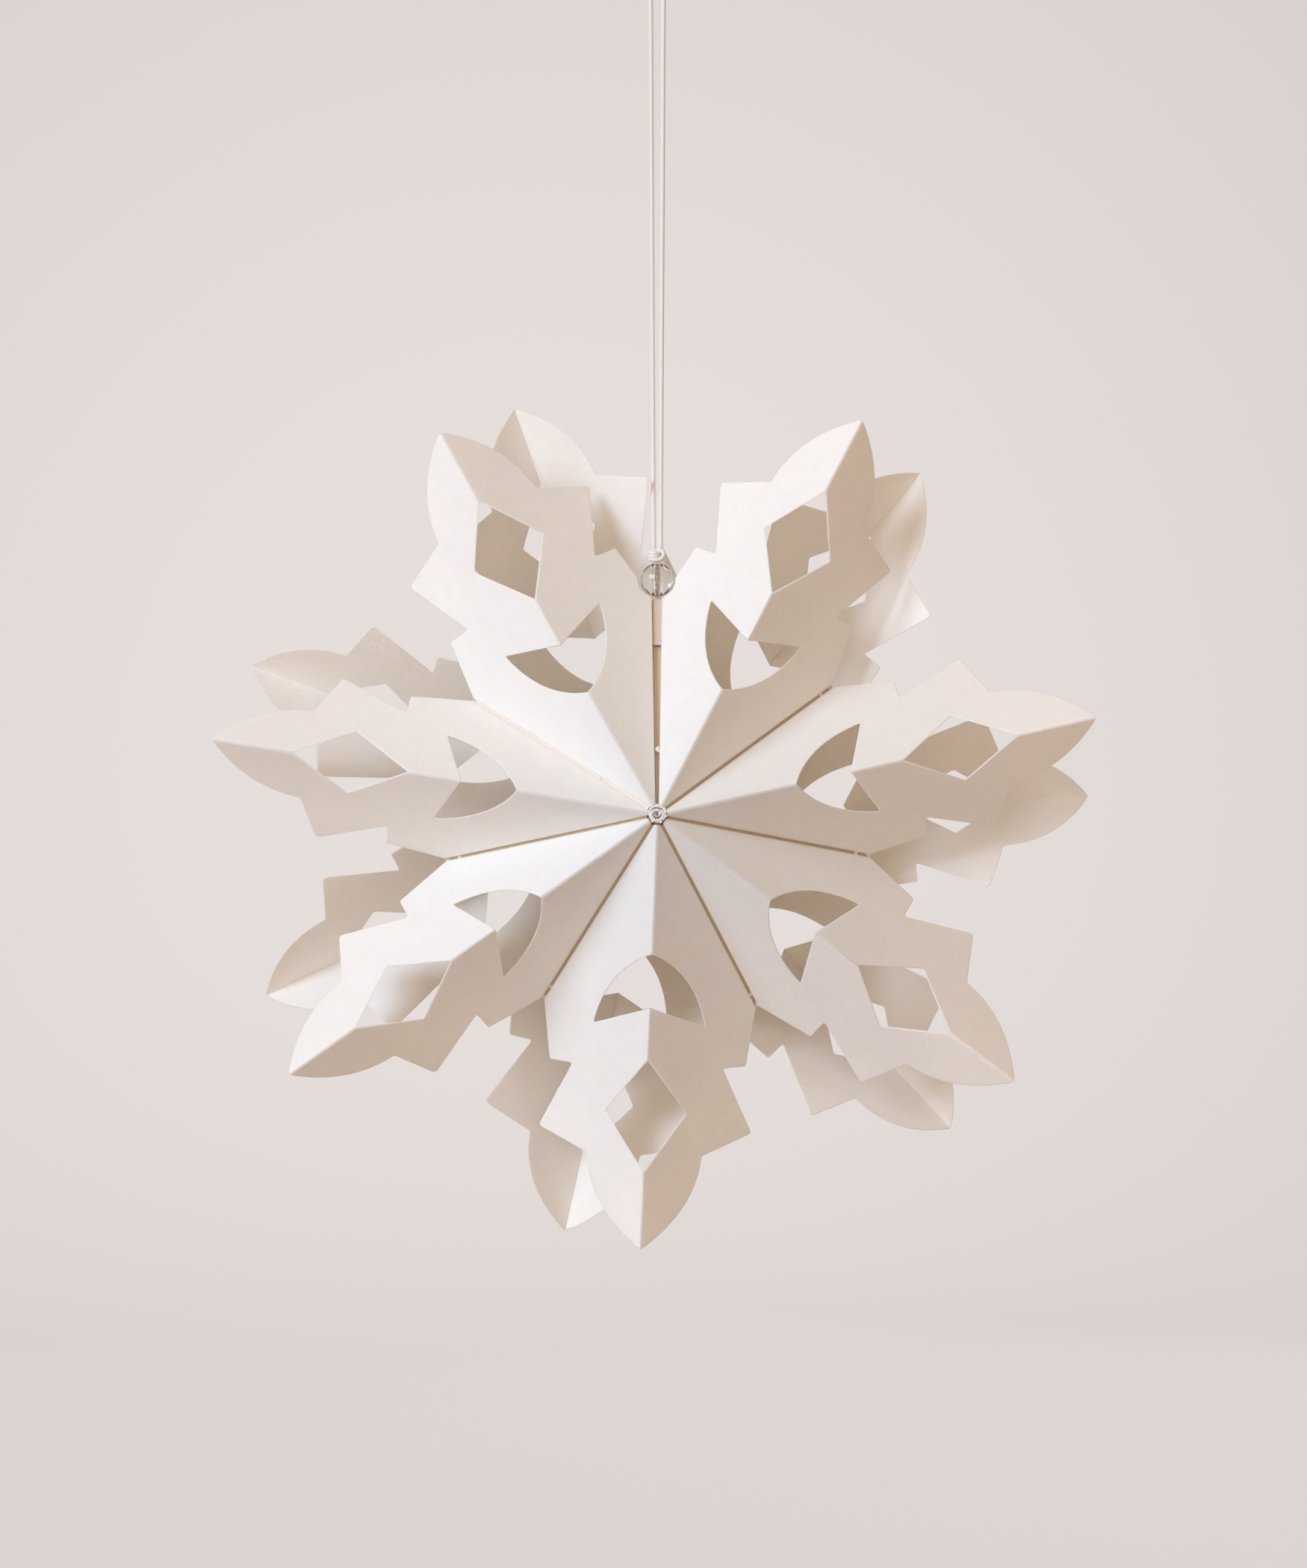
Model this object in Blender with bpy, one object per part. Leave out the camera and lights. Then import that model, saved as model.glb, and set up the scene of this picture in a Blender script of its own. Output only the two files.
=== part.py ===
"""Paper snowflake ornament: seven folded card points on a hanging cord.

Metres, +Z up, front towards -Y.  The origin is the top of the hanging loop.
Every point of the star is cut flat and folded: a front ridge, a rear ridge and
a gusset page on each side that is glued to the next point's gusset.
"""
import math
import bmesh
import bpy
from mathutils import Matrix, Vector
from mathutils.geometry import tessellate_polygon

MM = 0.001

# card and flat pattern: X runs out from the spine, D runs in from the ridge
CARD = 0.35 * MM            # card thickness
HALF_DEPTH = 42.0 * MM      # page half width: ridge to the middle of the page
GUSSET_END = 58.0 * MM      # where the gusset ends, out from the spine
GUSSET_TIP = 5.0 * MM       # half width of the gusset's outer edge
HUB_GAP = 1.2 * MM          # inner end of every page, out from its own fold line
TIP = 121.0 * MM            # ridge length to the tip
ARCH_APEX, ARCH_FOOT = 37.0 * MM, 52.0 * MM
ARCH_CORNER = (60.5 * MM, 19.3 * MM)
ARCH_BULGE = 7.0 * MM
DIAMOND_IN, DIAMOND_OUT = 66.8 * MM, 98.5 * MM
DIAMOND_CORNER = (84.4 * MM, 14.0 * MM)
SPUR_1 = (74.5 * MM, 34.4 * MM)
NOTCH_1 = (73.7 * MM, 26.2 * MM)
SPUR_2 = (94.5 * MM, 37.6 * MM)
NOTCH_2 = (97.9 * MM, 20.0 * MM)
LEAF_CONTROL = (113.0 * MM, 19.0 * MM)
CURVE_STEPS = 8

# how the star stands open: azimuth of each gusset, counter-clockwise from +X
GUSSET_AZIMUTH = (91.0, 148.5, 192.3, 238.0, 297.5, 349.0, 396.0, 449.0)
REAR_TWIST = 10.4           # degrees the rear points lag behind the front ones
FOLD_GAP = 0.10 * MM        # air between a point's two pages when folded flat
SEAM_GAP = 0.80 * MM        # slot between two glued gussets
EDGE_AIR = 0.04 * MM        # air left at each fold line
REAR_AIR = 0.30 * MM        # air left at each rear ridge, which parts a little while folding

# glue, spine tie
GLUE_LENGTH, GLUE_HEIGHT = 6.0 * MM, 1.5 * MM
TIE_RADIUS = 0.38 * MM
TIE_RING = 1.55 * MM
TIE_STAND = 0.6 * MM         # how far the tie curl stands off the ridge ends

# hanging cord, knot and bead
STAR_DROP = 236.0 * MM      # loop top to star centre
CORD_D = 1.3 * MM
LOOP_RADIUS = 3.2 * MM
STRAND_TOP = 1.75 * MM      # half spacing of the strands below the loop
STRAND_LOW = 0.95 * MM      # half spacing at the knot
BEAD_D = 9.2 * MM
BEAD_HOLE = 2.6 * MM
BEAD_RISE = 64.4 * MM       # bead centre above the star centre
KNOT_D, KNOT_H = 5.0 * MM, 3.8 * MM
TAIL_D = 1.0 * MM
TAIL_LENGTH = 17.0 * MM
FIT_AIR = 0.3 * MM

SLOPE = math.atan2(HALF_DEPTH - GUSSET_TIP, GUSSET_END)
PAGE_A = CARD + FOLD_GAP            # stacking height of a point's second page
STACK = 2 * CARD + FOLD_GAP
POINTS = len(GUSSET_AZIMUTH) - 1
FRONT_DIR = Vector((math.cos(SLOPE), 0.0, -math.sin(SLOPE)))
REAR_DIR = Vector((math.cos(SLOPE), 0.0, math.sin(SLOPE)))


def fold_angles(half_sector):
    """Gusset fold and ridge opening for a point that spans twice half_sector."""
    a, b = math.cos(SLOPE) * math.cos(half_sector), math.sin(SLOPE)
    tilt = math.atan2(b, a) - math.acos(math.cos(SLOPE) / math.hypot(a, b))
    edge = Vector((math.cos(SLOPE) * math.cos(half_sector),
                   math.cos(SLOPE) * math.sin(half_sector), -math.sin(SLOPE)))
    ridge = Vector((math.cos(tilt), 0.0, -math.sin(tilt)))
    face = ridge.cross(edge).normalized()
    page = Vector((-math.sin(half_sector), math.cos(half_sector), 0.0))
    fold = face.angle(page)
    fold = min(fold, math.pi - fold)
    opening = 2 * face.angle(Vector((0.0, 1.0, 0.0)))
    opening = min(opening, 2 * math.pi - opening)
    return fold, opening


def about(point, axis, angle):
    p = Matrix.Translation(point)
    return p @ Matrix.Rotation(angle, 4, axis) @ p.inverted()


GROOVE_B = Vector((0.0, 0.0, HALF_DEPTH))
GROOVE_A = Vector((0.0, STACK, HALF_DEPTH))
RIDGE = Vector((0.0, CARD + FOLD_GAP / 2, HALF_DEPTH))
REAR_B = Vector((0.0, 0.0, -HALF_DEPTH))
REAR_A = Vector((0.0, STACK, -HALF_DEPTH))
ALONG = Vector((1.0, 0.0, 0.0))


def pivot_line(turn):
    """Where a rotation about the local Z direction has its fixed line."""
    c, s = turn[0][0], turn[1][0]
    tx, ty = turn[0][3], turn[1][3]
    det = (1 - c) ** 2 + s ** 2
    return Vector((((1 - c) * tx - s * ty) / det, (s * tx + (1 - c) * ty) / det, 0.0))


def lay_out():
    """Folded placement of every page: a list of dictionaries, one per point."""
    first = math.radians(GUSSET_AZIMUTH[0])
    place = Matrix(((math.cos(first), -math.sin(first), 0, 0), (0, 0, -1, 0),
                    (math.sin(first), math.cos(first), 0, 0), (0, 0, 0, 1)))
    rows = []
    for i in range(POINTS):
        half = math.radians(GUSSET_AZIMUTH[i + 1] - GUSSET_AZIMUTH[i]) / 2
        fold, opening = fold_angles(half)
        front_b = place @ about(GROOVE_B, FRONT_DIR, -fold)
        front_a = front_b @ about(RIDGE, ALONG, opening)
        end = front_a @ about(GROOVE_A, FRONT_DIR, -fold)
        turn = place.inverted() @ end
        hub = pivot_line(turn)
        twist = about(hub, Vector((0, 0, 1)), -math.radians(REAR_TWIST))
        rows.append({"fold": fold, "open": opening, "gusset_b": place, "front_b": front_b,
                     "front_a": front_a, "gusset_a": end, "hub": hub,
                     "rear_b": place @ twist @ about(REAR_B, REAR_DIR, fold),
                     "rear_a": end @ twist @ about(REAR_A, REAR_DIR, -fold),
                     "twist": twist})
        place = end @ Matrix.Translation((0, STACK + SEAM_GAP, 0))
    spots = [r["gusset_b"].translation for r in rows] + [r["gusset_a"] @ Vector((0, STACK, 0)) for r in rows]
    mean = sum(spots, Vector()) / len(spots)
    shift = Matrix.Translation(Vector((0, 0, -STAR_DROP)) - Vector((mean.x, 0, mean.z)))
    for r in rows:
        for key in ("gusset_b", "front_b", "front_a", "gusset_a", "rear_b", "rear_a"):
            r[key] = shift @ r[key]
    return rows


def bend(p0, p1, p2, steps):
    """Points after p0 along a quadratic curve from p0 to p2."""
    out = []
    for i in range(1, steps + 1):
        u = i / steps
        out.append(tuple((1 - u) ** 2 * a + 2 * u * (1 - u) * b + u * u * c
                         for a, b, c in zip(p0, p1, p2)))
    return out


def panel_outline():
    """Cut line of a half point as (x, d, mark); mark r is the ridge, g the gusset fold."""
    chord = (ARCH_CORNER[0] - ARCH_APEX, ARCH_CORNER[1])
    size = math.hypot(*chord)
    control = (ARCH_APEX + chord[0] / 2 - ARCH_BULGE * chord[1] / size,
               chord[1] / 2 + ARCH_BULGE * chord[0] / size)
    pts = [(HUB_GAP, 0.0, "r"), (ARCH_APEX, 0.0, "r")]
    pts += [(x, d, "") for x, d in bend((ARCH_APEX, 0.0), control, ARCH_CORNER, CURVE_STEPS)]
    pts += [(ARCH_FOOT, 0.0, "r"), (DIAMOND_IN, 0.0, "r"), DIAMOND_CORNER + ("",),
            (DIAMOND_OUT, 0.0, "r"), (TIP, 0.0, "r")]
    pts += [(x, d, "") for x, d in bend((TIP, 0.0), LEAF_CONTROL, NOTCH_2, CURVE_STEPS)]
    pts += [SPUR_2 + ("",), NOTCH_1 + ("",), SPUR_1 + ("",),
            (GUSSET_END, HALF_DEPTH - GUSSET_TIP, "g"),
            (HUB_GAP, HUB_GAP * math.tan(SLOPE), "g")]
    return pts


def material(name, colour, rough):
    m = bpy.data.materials.new(name)
    m.use_nodes = True
    shader = m.node_tree.nodes["Principled BSDF"]
    shader.inputs["Base Color"].default_value = (*colour, 1.0)
    shader.inputs["Roughness"].default_value = rough
    return m


def body(name, points, faces, place, origin, colour, rough=0.8):
    """One closed mesh; points are local, the object's origin goes at `origin`."""
    bm = bmesh.new()
    vs = [bm.verts.new(Vector(p) - origin) for p in points]
    for f in faces:
        bm.faces.new([vs[k] for k in f])
    bmesh.ops.recalc_face_normals(bm, faces=bm.faces)
    mesh = bpy.data.meshes.new(name)
    bm.to_mesh(mesh)
    bm.free()
    ob = bpy.data.objects.new(name, mesh)
    bpy.context.scene.collection.objects.link(ob)
    ob.matrix_world = place @ Matrix.Translation(origin)
    mesh.materials.append(material(name + "_look", colour, rough))
    return ob


def skin(lower, upper):
    """Faces of a sheet between two loops with the same point count."""
    n = len(lower)
    tris = tessellate_polygon([[Vector(p) for p in lower]])
    faces = [tuple(t) for t in tris] + [tuple(n + k for k in reversed(t)) for t in tris]
    faces += [(i, (i + 1) % n, n + (i + 1) % n, n + i) for i in range(n)]
    return faces


def panel(name, place, side, page, fold, opening, origin, colour):
    """Half of a point. side +1 is the front, -1 the rear; page b or a of the pair."""
    inner, outer = (CARD, 0.0) if page == "b" else (PAGE_A, STACK)
    mitre = CARD / math.tan(opening / 2)
    lap = CARD * math.tan(fold / 2)
    normal = (math.sin(SLOPE), -math.cos(SLOPE))      # from the fold line into the panel
    inside, outside = [], []
    for x, d, mark in panel_outline():
        di = do = d
        xi = xo = x
        if mark == "r":
            air = EDGE_AIR if side > 0 else REAR_AIR
            di, do = air, air - mitre
        elif mark == "g":
            xi += normal[0] * (lap + EDGE_AIR)
            di += normal[1] * (lap + EDGE_AIR)
            xo += normal[0] * EDGE_AIR
            do += normal[1] * EDGE_AIR
        inside.append((xi, inner, side * (HALF_DEPTH - di)))
        outside.append((xo, outer, side * (HALF_DEPTH - do)))
    return body(name, inside + outside, skin([(p[0], p[2], 0) for p in inside], outside),
                place, origin, colour)


def gusset(name, place, twist, page, fold, colour):
    """Page middle between the two fold lines; its rear half is turned by the twist."""
    inner, outer = (CARD, 0.0) if page == "b" else (PAGE_A, STACK)
    lap = CARD * math.tan(fold / 2)
    top = HALF_DEPTH - HUB_GAP * math.tan(SLOPE)
    levels = [GUSSET_TIP * k / 3 for k in (3, 2, 1, 0, -1, -2, -3)]
    columns = 4

    def at(x, s, f):
        share = min(max((GUSSET_TIP - f) / (2 * GUSSET_TIP), 0.0), 1.0)
        hub = twist["hub"]
        return about(hub, Vector((0, 0, 1)), -math.radians(REAR_TWIST) * share) @ Vector((x, s, f))

    points, index = [], {}
    for layer, s in ((0, inner), (1, outer)):
        pull = EDGE_AIR + (lap if layer == 0 else 0.0)
        drop = pull / math.cos(SLOPE)
        for row, f in enumerate(levels):
            for col in range(columns + 1):
                x = HUB_GAP + (GUSSET_END - pull / math.sin(SLOPE) - HUB_GAP) * col / columns
                index[layer, row, col] = len(points)
                points.append(at(x, s, f))
        for end, f in (("top", top - drop), ("low", -top + drop)):
            index[layer, end] = len(points)
            points.append(at(HUB_GAP, s, f))
    rows = len(levels)
    faces = []
    for layer in (0, 1):
        g = lambda r, c: index[layer, r, c]
        for r in range(rows - 1):
            for c in range(columns):
                faces.append((g(r, c), g(r, c + 1), g(r + 1, c + 1)))
                faces.append((g(r, c), g(r + 1, c + 1), g(r + 1, c)))
        for c in range(columns):
            faces.append((index[layer, "top"], g(0, c), g(0, c + 1)))
            faces.append((index[layer, "low"], g(rows - 1, c), g(rows - 1, c + 1)))
    rim = ["top"] + [(r, 0) for r in range(rows)] + ["low"]
    rim += [(r, columns) for r in range(rows - 1, -1, -1)]
    pick = lambda layer, k: index[(layer, k) if isinstance(k, str) else (layer, *k)]
    for a, b in zip(rim, rim[1:] + rim[:1]):
        faces.append((pick(0, a), pick(0, b), pick(1, b), pick(1, a)))
    return body(name, points, faces, place, Vector((HUB_GAP, inner, 0.0)), colour)


def tube(name, points, diameter, colour, detail=2):
    """Round cord along points, closed at both ends."""
    curve = bpy.data.curves.new(name, "CURVE")
    curve.dimensions = "3D"
    curve.bevel_depth = diameter / 2
    curve.bevel_resolution = detail
    curve.use_fill_caps = True
    line = curve.splines.new("POLY")
    line.points.add(len(points) - 1)
    origin = Vector(points[0])
    for p, q in zip(line.points, points):
        p.co = (*(Vector(q) - origin), 1.0)
    ob = bpy.data.objects.new(name, curve)
    bpy.context.scene.collection.objects.link(ob)
    ob.location = origin
    curve.materials.append(material(name + "_look", colour, 0.9))
    return ob


def lathe(name, profile, centre, colour, rough, segments=28):
    """Ring-shaped body: a closed (radius, z) profile turned about the vertical."""
    pts, n = [], len(profile)
    for k in range(segments):
        a = 2 * math.pi * k / segments
        pts += [(r * math.cos(a), r * math.sin(a), z) for r, z in profile]
    faces = []
    for k in range(segments):
        m = (k + 1) % segments
        for i in range(n):
            j = (i + 1) % n
            faces.append((k * n + i, m * n + i, m * n + j, k * n + j))
    return body(name, pts, faces, Matrix.Translation(centre), Vector((0, 0, 0)), colour, rough)


def cord_route():
    """Centre line of the loop: up the right strand, over the top, down the left."""
    top = CORD_D / 2
    low = -STAR_DROP + BEAD_RISE + BEAD_D / 2 + KNOT_H + 2 * FIT_AIR
    shoulder = -4.2 * LOOP_RADIUS
    right = []
    n_straight, n_neck, n_arc = 28, 5, 8
    for k in range(n_straight):
        u = k / n_straight
        right.append((STRAND_LOW + (STRAND_TOP - STRAND_LOW) * u, low + (shoulder - low) * u))
    neck_end = (LOOP_RADIUS, top - LOOP_RADIUS)
    for k in range(n_neck):
        u = k / n_neck
        ease = u * u * (3 - 2 * u)
        right.append((STRAND_TOP + (neck_end[0] - STRAND_TOP) * ease, shoulder + (neck_end[1] - shoulder) * u))
    for k in range(n_arc + 1):
        a = math.pi / 2 * k / n_arc
        right.append((LOOP_RADIUS * math.cos(a), top - LOOP_RADIUS + LOOP_RADIUS * math.sin(a)))
    left = [(-x, z) for x, z in reversed(right[:-1])]
    return [(x, 0.0, z) for x, z in right + left]


def tie_route():
    """Spine tie: a curl at the front, the thread along the axis, a curl at the back."""
    front = HALF_DEPTH + TIE_STAND
    path = []
    turns = 18
    for k in range(turns + 1):
        a = math.radians(60 + 318 * k / turns)
        path.append((TIE_RING * math.cos(a), -front, TIE_RING * math.sin(a)))
    last = path[-1]
    for u in (0.35, 0.7, 1.0):
        path.append((last[0] * (1 - u), -front + 2.2 * TIE_RADIUS * u * u, last[2] * (1 - u)))
    steps = 12
    for k in range(1, steps + 1):
        path.append((0.0, -front + 4 * TIE_RADIUS + (2 * front - 8 * TIE_RADIUS) * k / steps, 0.0))
    back = [(x, -y, z) for x, y, z in reversed(path[:turns + 4])]
    path += back
    return [(x, y, z - STAR_DROP) for x, y, z in path]


def build():
    for ob in list(bpy.data.objects):
        bpy.data.objects.remove(ob, do_unlink=True)
    card = (0.86, 0.82, 0.76)
    white = (0.92, 0.90, 0.87)
    rows = lay_out()
    for i, r in enumerate(rows):
        tag = "point%d_" % (i + 1)
        for page, groove, rear in (("b", GROOVE_B, REAR_B), ("a", GROOVE_A, REAR_A)):
            side = "cw" if page == "b" else "ccw"
            panel(tag + "front_" + side, r["front_" + page], 1, page, r["fold"], r["open"],
                  groove if page == "b" else RIDGE, card)
            panel(tag + "rear_" + side, r["rear_" + page], -1, page, r["fold"], r["open"], rear, card)
            gusset(tag + "gusset_" + side, r["gusset_" + page], r, page, r["fold"], card)
    for i in range(POINTS - 1):
        s0, s1 = STACK + EDGE_AIR, STACK + SEAM_GAP - EDGE_AIR
        x0, f0 = GUSSET_END - 1.6 * GLUE_LENGTH, GUSSET_TIP + FIT_AIR
        pts = [(x, s, f) for x in (x0, x0 + GLUE_LENGTH) for s in (s0, s1) for f in (f0, f0 + GLUE_HEIGHT)]
        box = [(0, 1, 3, 2), (4, 6, 7, 5), (0, 4, 5, 1), (2, 3, 7, 6), (0, 2, 6, 4), (1, 5, 7, 3)]
        body("glue%d" % (i + 1), pts, box, rows[i]["gusset_a"], Vector((x0, s0, f0)), white, 0.4)
    tube("spine_tie", tie_route(), 2 * TIE_RADIUS, white)
    tube("hanging_loop", cord_route(), CORD_D, white)
    bead_z = -STAR_DROP + BEAD_RISE
    half, hole = BEAD_D / 2, BEAD_HOLE / 2
    start = math.asin(hole / half)
    ring = [(half * math.sin(a), half * math.cos(a)) for a in
            (start + (math.pi - 2 * start) * k / 14 for k in range(15))]
    lathe("bead", ring, (0, 0, bead_z), (0.95, 0.94, 0.93), 0.05)
    knot_z = bead_z + half * math.cos(start) + FIT_AIR + KNOT_H / 2
    core = 0.2 * KNOT_D
    wraps = [(core, -KNOT_H / 2)]
    for w in range(3):
        for k in range(5):
            a = math.pi * (k + 0.5) / 5
            wraps.append((0.82 * KNOT_D / 2 + 0.18 * KNOT_D / 2 * math.sin(a),
                          -KNOT_H / 2 + KNOT_H / 3 * (w + 0.5 - 0.5 * math.cos(a))))
    wraps.append((core, KNOT_H / 2))
    lathe("knot", wraps, (0, 0, knot_z), white, 0.9, 24)
    high = knot_z - KNOT_H / 2 - FIT_AIR
    tail = [(0.0, 0.0, high - TAIL_LENGTH * k / 7) for k in range(8)]
    tube("cord_tail", tail, TAIL_D, white)


build()
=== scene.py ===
# %% [markdown]
# # A folded card snowflake on a cord
# The real object is a paper ornament. Seven points are cut from stiff felt-marked card,
# creased along a front ridge and a rear ridge, and glued side by side like the pages of
# a book. It hangs from a doubled white cord with a clear bead under the knot.
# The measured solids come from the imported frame, in metres. This lesson dresses them: each
# step says what a piece is, how it could be made, and why this way was taken.

# %% Load the frame
import math

import bmesh
import bpy
import numpy as np
from mathutils import Matrix, Vector
from mathutils.geometry import tessellate_polygon


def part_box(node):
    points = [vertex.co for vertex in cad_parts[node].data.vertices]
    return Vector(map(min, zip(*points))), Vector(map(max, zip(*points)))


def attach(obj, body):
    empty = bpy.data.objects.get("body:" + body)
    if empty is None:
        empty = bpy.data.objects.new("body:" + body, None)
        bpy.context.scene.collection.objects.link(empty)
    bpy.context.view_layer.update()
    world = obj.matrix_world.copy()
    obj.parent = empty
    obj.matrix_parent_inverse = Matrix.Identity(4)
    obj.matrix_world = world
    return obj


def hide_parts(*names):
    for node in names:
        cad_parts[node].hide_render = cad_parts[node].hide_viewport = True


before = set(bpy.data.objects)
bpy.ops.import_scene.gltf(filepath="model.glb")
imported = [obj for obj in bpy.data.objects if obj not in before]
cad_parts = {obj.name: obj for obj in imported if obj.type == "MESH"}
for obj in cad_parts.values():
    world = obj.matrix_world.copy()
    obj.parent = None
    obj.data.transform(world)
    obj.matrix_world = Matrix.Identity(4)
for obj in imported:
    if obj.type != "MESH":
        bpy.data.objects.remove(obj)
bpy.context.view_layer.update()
scene = bpy.context.scene
scene.view_settings.view_transform = "Standard"
MM = 0.001

# %% [markdown]
# ## Camera
# The photograph looks straight at the star from about 1.15 m, a little above its middle.
# Perspective could be dropped for a flat view, but the rear points then come out as large
# as the front ones, so the true distance is kept and the lens follows from the frame's
# height. Blender measures the sensor along the long side, which is the height here.

# %% Camera
VIEW_HEIGHT = 0.4316  # height of the photograph in the plane of the cord
VIEW_DISTANCE = 1.15
AIM = Vector((-0.0010, 0.0, -0.2278))
SENSOR = 36.0
eye = bpy.data.cameras.new("eye")
eye.sensor_width = SENSOR
eye.lens = SENSOR * VIEW_DISTANCE / VIEW_HEIGHT
eye.clip_start, eye.clip_end = 0.05, 40.0
eye_ob = bpy.data.objects.new("eye", eye)
eye_ob.location = AIM + Vector((0.0, -VIEW_DISTANCE, 0.0))
eye_ob.rotation_euler = (math.pi / 2, 0.0, 0.0)
scene.collection.objects.link(eye_ob)
scene.camera = eye_ob
print("lens %.1f mm" % eye.lens)

# %% [markdown]
# ## A helper for meshes
# Every piece is a mesh made in code. `add_mesh` turns points and faces into an object. Card
# could be shaded flat, but then its small rounded edges show as steps. Smooth shading with
# area-weighted normals keeps big flat faces flat and lets the rounded edges catch the
# light. Edges that turn by more than 50 degrees stay sharp.

# %% Mesh helper
WELD = 2e-6
SHARP = math.radians(50)
FLAT_WEIGHT = 100


def add_mesh(name, points, faces, material, weighted=True):
    """One object in the row frame from points and faces, with outward normals."""
    mesh = bpy.data.meshes.new(name)
    bm = bmesh.new()
    verts = [bm.verts.new(p) for p in points]
    for f in faces:
        if len(set(f)) == len(f):
            bm.faces.new([verts[k] for k in f])
    bmesh.ops.remove_doubles(bm, verts=bm.verts, dist=WELD)
    bmesh.ops.recalc_face_normals(bm, faces=bm.faces)
    for f in bm.faces:
        f.smooth = True
    for e in bm.edges:
        if len(e.link_faces) == 2 and e.calc_face_angle() > SHARP:
            e.smooth = False
    bm.to_mesh(mesh)
    bm.free()
    ob = bpy.data.objects.new(name, mesh)
    scene.collection.objects.link(ob)
    mesh.materials.append(material)
    if weighted:
        mod = ob.modifiers.new("flat faces stay flat", "WEIGHTED_NORMAL")
        mod.mode = "FACE_AREA"
        mod.weight = FLAT_WEIGHT
        mod.keep_sharp = True
    return ob


print("mesh helper ready: edges over %.0f degrees stay sharp" % math.degrees(SHARP))

# %% [markdown]
# ## Helpers for finishes
# A finish here is a Principled shader with noise in front of it. The nodes could be wired
# by hand each time, but cord, glue and paper all want the same few: a noise in the piece's
# own space, two tones that it drifts between, and a bump that it lifts. `mottled` makes
# such a finish from its tones and scale.


# %% Finish helpers
def add_material(name):
    """A new node material; returns it with its node tree and Principled shader."""
    mat = bpy.data.materials.new(name)
    mat.use_nodes = True
    tree = mat.node_tree
    return mat, tree, tree.nodes["Principled BSDF"]


def node(tree, kind, **settings):
    """Add a node; settings whose name is an input go to that socket."""
    n = tree.nodes.new(kind)
    for key, value in settings.items():
        if key in n.inputs:
            n.inputs[key].default_value = value
        else:
            setattr(n, key, value)
    return n


def join(tree, source, output, target, socket):
    """Wire one node's output to another node's socket."""
    tree.links.new(source.outputs[output], target.inputs[socket])


def mottled(name, tones, roughness, scale, detail=2.0, grain=0.5, lift=None, spread=(0.0, 1.0)):
    """A finish that drifts between two tones; lift is the bump's strength and height."""
    mat, tree, shader = add_material(name)
    place = node(tree, "ShaderNodeTexCoord")
    noise = node(tree, "ShaderNodeTexNoise", Scale=scale, Detail=detail, Roughness=grain)
    tone = node(tree, "ShaderNodeValToRGB")
    for stop, position, colour in zip(tone.color_ramp.elements, spread, tones):
        stop.position = position
        stop.color = (*colour, 1.0)
    join(tree, place, "Object", noise, "Vector")
    join(tree, noise, "Fac", tone, "Fac")
    join(tree, tone, "Color", shader, "Base Color")
    if lift:
        bump = node(tree, "ShaderNodeBump", Strength=lift[0], Distance=lift[1])
        join(tree, noise, "Fac", bump, "Height")
        join(tree, bump, "Normal", shader, "Normal")
    shader.inputs["Roughness"].default_value = roughness
    return mat, shader


print("finish helpers ready")

# %% [markdown]
# ## Cord finish
# The cord is white cotton. A plain white would read as plastic, so a very fine noise makes
# the fibres, and a little sheen gives the soft edge that cotton has against the light.

# %% Cord finish
cord_mat, shader = mottled("white_cotton_cord", ((0.76, 0.73, 0.70), (0.93, 0.91, 0.89)), 0.78,
                           5200.0, detail=4.0, grain=0.6, lift=(0.5, 0.00006))
shader.inputs["Sheen Weight"].default_value = 0.25
shader.inputs["Sheen Roughness"].default_value = 0.4
print("finish:", cord_mat.name)

# %% [markdown]
# ## Twisted cord
# A cord is a few plies turned round each other. A round tube would look like wire, and
# separate plies would cost many faces. So one tube follows the route, and its section is
# scalloped and turns as it goes, which gives the same shadow lines.


# %% Twisted tube
def resample(route, step):
    """Points at even spacing along a polyline, and its length."""
    pts = [Vector(p) for p in route]
    run = [0.0]
    for a, b in zip(pts, pts[1:]):
        run.append(run[-1] + (b - a).length)
    count = max(2, int(round(run[-1] / step)) + 1)
    spots = np.linspace(0.0, run[-1], count)
    cols = [np.interp(spots, run, [p[k] for p in pts]) for k in range(3)]
    return [Vector(p) for p in zip(*cols)], run[-1]


def twisted_tube(name, route, diameter, material, pitch=3.6 * MM, plies=5, step=0.28 * MM,
                 sides=20, depth=0.12):
    """A cord whose section is a few plies turning round each other."""
    line, length = resample(route, step)
    n = len(line)
    radius = diameter / 2
    points, faces = [], []
    side = (line[1] - line[0]).normalized().orthogonal().normalized()
    for i in range(n):
        ahead = (line[min(i + 1, n - 1)] - line[max(i - 1, 0)]).normalized()
        side = (side - ahead * side.dot(ahead)).normalized()
        other = ahead.cross(side)
        turn = 2 * math.pi * i * length / (n - 1) / pitch
        for k in range(sides):
            a = 2 * math.pi * k / sides
            r = radius * (1 - depth * (1 - abs(math.cos(plies * (a - turn) / 2))))
            points.append(line[i] + side * (r * math.cos(a)) + other * (r * math.sin(a)))
    for i in range(n - 1):
        for k in range(sides):
            m = (k + 1) % sides
            here, there = i * sides, (i + 1) * sides
            faces.append((here + k, here + m, there + m, there + k))
    faces += [tuple(range(sides)), tuple((n - 1) * sides + k for k in range(sides))]
    return add_mesh(name, points, faces, material, weighted=False), length


print("twisted tube ready")

# %% [markdown]
# ## The cord's route
# The cord is doubled into a loop and pulled straight by the star's weight. It could hang
# from a curve object, but the route has to be the one that the solids follow. So the same
# sizes are written here, and the route runs up the right strand, over the loop that goes on
# a hook, and down the left strand.

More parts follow.
